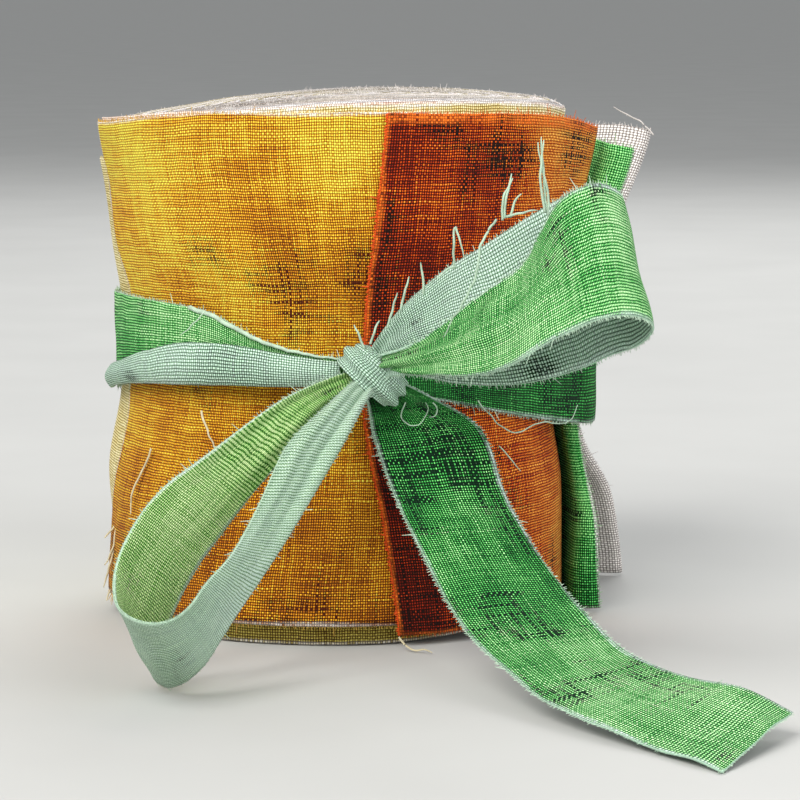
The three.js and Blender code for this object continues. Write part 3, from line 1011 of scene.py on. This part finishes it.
# The lap's width as cut and as gathered, how much its edges round off, how high its ridges are and
# how many, and what share of its width it loses where it is pulled tightest
LAP_CUT = 5.0
LAP_GATHERED = 3.1
LAP_ROUNDING = 0.6
RIDGE_HEIGHT = 0.3
RIDGES = 1.7
LAP_NARROWING = 0.16
Lap = namedtuple("Lap", "share offset long deep width")
KNOT_LAPS = [
    Lap(0.0, 0.0, 2.4, 1.8, 2.4),
    Lap(0.17, -0.3, 3.0, 2.2, 2.5),
    Lap(0.5, 1.1, 3.9, 2.6, 2.7),
    Lap(0.83, -0.4, 4.4, 3.2, 3.1),
    Lap(1.0, -0.2, 4.1, 2.9, 2.9),
]


def knot_core(look):
    """The gathered cloth that the knot's lap is wound round."""
    mesh = bmesh.new()
    layer = mesh.loops.layers.uv.new("cloth")
    bmesh.ops.create_uvsphere(mesh, u_segments=32, v_segments=16, radius=1.0, calc_uvs=True)
    for face in mesh.faces:
        face.smooth = True
        for loop in face.loops:
            loop[layer].uv *= 16.0 * MM
    for vert in mesh.verts:
        vert.co = (KNOT_PLACE + KNOT_SLANT @ (vert.co * KNOT_CORE)) * MM
    belongs(mesh_piece("tie_knot_core", mesh, [look]), "tie", "tie_cloth")


def knot_wrap(looks):
    """The lap of cloth round the knot."""

    def place(u, v):
        lap = table_row(KNOT_LAPS, "share", u)
        angle = 2.0 * math.pi * (KNOT_TURNS * u - 0.5)
        swell = LAP_ROUNDING * (math.sin(math.pi * v) ** 0.6 - 1.0)
        across = 2.0 * math.pi * RIDGES * v
        ridge = RIDGE_HEIGHT * math.sin(across + 0.8 * math.sin(angle) + 3.0 * u)
        narrowing = 1.0 - LAP_NARROWING * math.sin(angle / 2.0 + 0.4) ** 2
        side = lap.offset + lap.width * (v - 0.5) * narrowing + 0.3 * math.sin(angle + 1.0)
        long, deep = lap.long + swell + ridge, lap.deep + swell + ridge
        spot = Vector((side, -deep * math.cos(angle), -long * math.sin(angle)))
        return KNOT_PLACE + KNOT_SLANT @ spot

    length = KNOT_TURNS * math.pi * KNOT_ACROSS
    piece = cloth_sheet("tie_knot", place, (180, 24), (length, LAP_CUT), looks)
    belongs(piece, "tie", "tie_cloth", (length, LAP_GATHERED))


# Frays and loose threads

# The point at share s of each of a cloth's sides, and one a little inside it
SIDES = {
    "start": lambda s: ((0.0, s), (0.01, s)),
    "end": lambda s: ((1.0, s), (0.99, s)),
    "low": lambda s: ((s, 0.0), (s, 0.02)),
    "high": lambda s: ((s, 1.0), (s, 0.98)),
}

# How far a thread end leans, how far it is rooted in the cloth, and how many are how much longer
FRAY_LEAN = 0.4
FRAY_ROOT = 0.15
LONG_SHARE = 0.03
LONG_TIMES = 2.5


def fray(cloth, sides, look, reach, spacing=WEFT_PITCH, thickness=0.075, name="fray"):
    """Thread ends that stand out of a cloth's cut sides, now and then a longer one."""
    mesh = bmesh.new()
    for side in sides:
        length = cloth.size[1] if side in ("start", "end") else cloth.size[0]
        count = int(length / spacing)
        for i in range(count):
            edge, inside = SIDES[side](min(1.0, (i + random.random()) / count))
            point = cloth.place(*edge)
            outward = (point - cloth.place(*inside)).normalized()
            lean = Vector([random.uniform(-FRAY_LEAN, FRAY_LEAN) for _ in range(3)])
            direction = (outward + lean).normalized()
            span = random.uniform(*reach) * (LONG_TIMES if random.random() < LONG_SHARE else 1.0)
            middle = (point + direction * (span / 2.0 - FRAY_ROOT)) * MM
            turn = direction.to_track_quat("Z", "Y").to_matrix().to_4x4()
            bmesh.ops.create_cone(
                mesh,
                segments=3,
                radius1=thickness * MM,
                radius2=thickness * 0.4 * MM,
                depth=span * MM,
                cap_ends=True,
                matrix=Matrix.Translation(middle) @ turn,
            )
    piece = mesh_piece(f"{name}_{cloth.name}", mesh, [look])
    belongs(piece, cloth.node, cloth.slot_name)


# Longer threads that have come loose, as points from where each leaves the cloth to its tip
LOOP_THREADS = [
    [(24.9, -57.5, 55.9), (24.8, -57.0, 59.0), (24.6, -56.5, 61.7), (24.4, -56.0, 64.3)],
    [(25.2, -57.5, 55.6), (25.1, -57.2, 58.4), (24.5, -56.8, 61.0), (24.1, -56.2, 63.6)],
    [(24.7, -57.7, 55.8), (24.4, -57.4, 59.4), (24.5, -56.8, 62.2), (24.7, -56.2, 63.9)],
    [(20.3, -54.5, 55.0), (20.7, -54.0, 58.0), (21.2, -53.5, 60.1)],
    [(20.1, -54.6, 54.8), (20.3, -54.2, 57.4), (21.3, -53.6, 59.6)],
    [(20.9, -55.0, 55.2), (21.5, -55.0, 56.8), (22.3, -55.0, 57.8)],
    [(20.5, -55.0, 55.3), (22.1, -56.0, 55.7), (24.0, -56.5, 56.0)],
    [
        (19.5, -54.5, 54.9), (18.5, -56.2, 53.8), (17.6, -57.4, 52.2), (17.2, -58.2, 49.6),
        (16.5, -58.4, 47.4), (15.3, -57.6, 45.0), (14.5, -56.4, 43.6), (13.6, -54.4, 41.5),
    ],
    [
        (14.7, -49.6, 49.0), (14.7, -50.0, 51.7), (14.9, -50.0, 53.7), (15.4, -50.5, 52.2),
        (15.9, -51.0, 50.2),
    ],
    [(14.9, -49.8, 49.2), (13.8, -50.5, 48.7), (12.8, -50.8, 47.9)],
    [(11.3, -46.0, 45.5), (11.2, -46.0, 47.8), (10.9, -46.0, 49.2)],
    [(8.7, -43.5, 43.4), (9.2, -43.5, 45.9), (9.6, -43.0, 47.3)],
    [(7.0, -41.0, 41.0), (7.7, -41.0, 43.7), (8.1, -41.0, 45.3)],
    [(5.0, -38.5, 38.9), (5.5, -38.5, 40.8), (6.0, -38.0, 41.7)],
    [(4.2, -37.5, 38.2), (3.6, -37.5, 40.1), (3.0, -37.0, 41.0)],
]
BAND_THREADS = [
    [
        (18.0, -31.0, 31.1), (19.0, -32.0, 29.9), (20.6, -33.0, 28.4), (22.5, -33.0, 27.5),
        (24.3, -32.0, 28.0), (26.2, -31.0, 28.5), (27.9, -29.0, 28.1), (29.5, -27.0, 28.2),
        (30.5, -24.4, 29.7),
    ],
    [(20.6, -31.6, 25.6), (22.0, -32.0, 24.0), (23.3, -32.0, 22.6)],
    [(-15.2, -29.9, 42.0), (-16.5, -30.4, 40.7), (-18.3, -29.6, 38.9)],
    [
        (9.1, -34.6, 31.4), (8.6, -34.8, 30.3), (8.8, -35.0, 29.3), (9.7, -35.1, 28.6),
        (10.7, -35.0, 28.7), (11.5, -35.0, 29.5), (11.9, -34.9, 30.5), (11.6, -34.5, 31.3),
    ],
    [(12.4, -34.7, 31.4), (13.1, -34.5, 30.5), (12.7, -34.9, 29.8), (12.0, -35.1, 29.6)],
]
BODY_THREADS = [
    [(-28.5, -7.6, 11.8), (-29.4, -7.5, 10.7), (-29.9, -7.4, 10.1)],
    [
        (-28.2, -8.6, 12.2), (-28.5, -8.4, 10.5), (-28.9, -8.2, 8.7), (-29.5, -7.8, 7.3),
        (-30.0, -7.6, 6.5),
    ],
    [(-28.6, -8.0, 9.0), (-29.3, -7.8, 6.5), (-29.8, -7.6, 4.8), (-30.2, -7.4, 3.5)],
    [(-28.9, -5.6, 3.4), (-29.5, -6.2, 2.6), (-29.9, -6.4, 1.6)],
    [
        (-22.9, -17.8, 23.3), (-24.1, -16.9, 20.4), (-25.2, -16.4, 18.0), (-25.7, -16.1, 16.2),
        (-25.8, -15.9, 14.6),
    ],
    [(-16.0, -26.4, 29.3), (-15.4, -27.6, 27.7), (-14.8, -28.2, 26.1), (-14.1, -28.6, 24.6)],
    [
        (8.4, -30.4, 1.7), (9.2, -31.2, 0.8), (10.3, -31.9, 0.3), (11.4, -32.6, 0.5),
        (12.5, -33.2, 0.2),
    ],
]
LINEN_THREADS = [
    [
        (43.0, 17.8, 61.2), (41.7, 18.2, 62.7), (40.1, 18.6, 63.6), (38.7, 18.8, 64.4),
        (37.5, 19.0, 64.9),
    ],
]

# How far a loose thread strays from its path, over what length, and how much thinner its tip is
KINK = 0.18
KINK_LENGTH = 1.3
TIP_TAPER = 0.6


def loose_threads(name, node, slot_name, paths, look, thickness=0.15):
    """Thin round threads along smooth paths."""
    mesh = bmesh.new()
    for path in paths:
        points = [Vector(point) for point in path]
        steps = 8 * (len(points) - 1)
        tube = bmesh.ops.create_grid(mesh, x_segments=steps, y_segments=6, size=0.5)["verts"]
        for vert in tube:
            u, v = vert.co.x + 0.5, vert.co.y + 0.5
            vert.co = thread_point(points, u, v, thickness) * MM
    bmesh.ops.remove_doubles(mesh, verts=mesh.verts, dist=1e-6)
    bmesh.ops.holes_fill(mesh, edges=mesh.edges, sides=0)
    bmesh.ops.recalc_face_normals(mesh, faces=mesh.faces)
    for face in mesh.faces:
        face.smooth = True
    belongs(mesh_piece(name, mesh, [look]), node, slot_name)


def thread_point(points, u, v, thickness):
    """Point at u along a thread and v round it, with a slight kink and a tapering tip."""
    place = u * (len(points) - 1)
    index = min(int(place), len(points) - 2)
    around = neighbours(points, index)
    spot = smooth_step_between(*around, place - index)
    run = (around[2] - around[1]).normalized()
    side = run.orthogonal().normalized()
    up = run.cross(side)
    kink = noise.noise_vector(spot / KINK_LENGTH) * KINK
    reach = thickness * (1.0 - TIP_TAPER * u ** 3)
    turn = 2.0 * math.pi * v
    return spot + kink + (side * math.cos(turn) + up * math.sin(turn)) * reach


def build_floor():
    mesh = bmesh.new()
    bmesh.ops.create_grid(mesh, x_segments=1, y_segments=1, size=60.0)
    paint = Paint("floor")
    place = paint.node("ShaderNodeTexCoord", {}, {}).outputs["Object"]
    share = paint.noise(place, 25.0, 3.0)
    colour = paint.blend(share.socket, rgb((0.74, 0.74, 0.73)), rgb((0.78, 0.78, 0.77)))
    paint.feed(paint.shader.inputs["Base Color"], colour)
    paint.shader.inputs["Roughness"].default_value = 0.85
    mesh_piece("floor", mesh, [paint.material])


def build_roll():
    white_fray = thread_paint("white_fray", (0.95, 0.92, 0.90))
    for index, turn in enumerate(WOUND):
        strip = wound_strip(index, turn)
        fray(strip, ["high"], white_fray, reach=(0.15, 0.4), spacing=3.0, thickness=0.05)


def build_outer_strips():
    yellow = cloth_looks("yellow", YELLOW_PRINT, 3.0)
    rust = cloth_looks("rust", RUST_PRINT, 8.0)
    pale = cloth_looks("pale", PALE_PRINT, 11.0)
    peach = cloth_looks("peach_end", PEACH_PRINT, 12.0)
    deep_green = cloth_looks("deep_green", DEEP_GREEN_PRINT, 14.0)
    linen = cloth_looks("linen_end", LINEN_PRINT, 17.0)
    yellow_fray = thread_paint("yellow_fray", (0.90, 0.72, 0.36))
    rust_fray = thread_paint("rust_fray", (0.85, 0.42, 0.18))
    rust_seam_fray = thread_paint("rust_seam_fray", (0.93, 0.36, 0.14))
    pale_fray = thread_paint("pale_fray", (0.93, 0.88, 0.66))
    green_fray = thread_paint("green_fray", (0.62, 0.80, 0.58))
    linen_fray = thread_paint("linen_fray", (0.88, 0.85, 0.83))
    cream_thread = thread_paint("cream_thread", (0.94, 0.89, 0.74))

    strip = outer_strip(
        "yellow_end", "yellow_strip", "yellow_cloth", YELLOW_ENDS, YELLOW_SEAT, yellow, (120, 60)
    )
    fray(strip, ["start", "low", "high"], yellow_fray, reach=(0.35, 0.65))
    strip = outer_strip("rust_end", "rust_strip", "rust_cloth", RUST_ENDS, RUST_SEAT, rust, (100, 60))
    fray(strip, ["low", "high"], rust_fray, reach=(0.35, 0.65))
    fray(
        strip, ["start"], rust_seam_fray, reach=(0.25, 0.6), spacing=WEFT_PITCH / 2.5, thickness=0.13,
        name="seam",
    )
    strip = outer_strip(
        "pale_end", "pale_strip", "pale_cloth", PALE_ENDS, PALE_SEAT, pale, (90, 60),
        wave=0.1, bulge=pale_bulge,
    )
    fray(strip, ["high"], pale_fray, reach=(0.2, 0.5))
    outer_strip(
        "peach_end", "yellow_strip", "yellow_cloth", PEACH_ENDS, PALE_SEAT, peach, (40, 24), wave=0.1
    )
    strip = standing_strip(
        "green_end", "green_strip", "green_cloth", GREEN_FLAP, GREEN_SEAT, GREEN_HIDDEN_END,
        turned_over(deep_green), (80, 60), curl=2.2, sag=1.8,
    )
    fray(strip, ["start", "high"], green_fray, reach=(0.35, 0.75))
    strip = standing_strip(
        "linen_end", "linen_strip", "linen_cloth", LINEN_FLAP, LINEN_SEAT, LINEN_HIDDEN_END,
        linen, (160, 60), curl=0.9, sag=1.0,
    )
    fray(strip, ["start", "high"], linen_fray, reach=(0.35, 0.75))
    loose_threads("threads_linen", "linen_strip", "linen_cloth", LINEN_THREADS, linen_fray, 0.12)
    loose_threads("threads_body", "yellow_strip", "yellow_cloth", BODY_THREADS, cream_thread, 0.14)


def build_tie():
    band = cloth_looks("tie_band", BAND_PRINT, 21.0, TIE_WIDTH)
    right = cloth_looks("tie_right", GREEN_PRINT, 22.0, TIE_WIDTH)
    left = cloth_looks("tie_left", LIT_LEAF_PRINT, 23.0, TIE_WIDTH)
    tail = cloth_looks("tie_tail", SHADED_TAIL_PRINT, 24.0, TIE_WIDTH)
    mint = thread_paint("tie_fray", (0.80, 0.90, 0.80))

    strip = band_piece("tie_band", BAND, (360, 14), band, width=11.0)
    fray(strip, ["low", "high"], mint, reach=(0.3, 0.6))
    band_piece("tie_fold", BAND_FOLD, (120, 10), turned_over(right), width=4.5, bow=0.7)
    rolled_edge = [on_bearing(*spot) for spot in BAND_ROLLED_EDGE]
    loose_threads("tie_rolled_edge", "tie", "tie_cloth", [rolled_edge], mint, 0.3)
    strip = free_run("tie_right_loop", RIGHT_LOOP, (200, 22), turned_over(right), seed=1.0)
    fray(strip, ["low", "high"], mint, reach=(0.3, 0.7))
    strip = free_run("tie_left_loop", LEFT_LOOP, (200, 22), turned_over(left), seed=2.0)
    fray(strip, ["low", "high"], mint, reach=(0.3, 0.6))
    strip = free_run("tie_tail", TAIL, (160, 22), tail, seed=3.0)
    fray(strip, ["low", "high", "end"], mint, reach=(0.3, 0.6))
    knot_wrap(turned_over(right))
    knot_core(right[1])
    loose_threads("threads_loop", "tie", "tie_cloth", LOOP_THREADS, mint)
    loose_threads("threads_band", "tie", "tie_cloth", BAND_THREADS, mint, 0.09)


add_camera()
light_scene()
build_floor()
build_roll()
build_outer_strips()
build_tie()
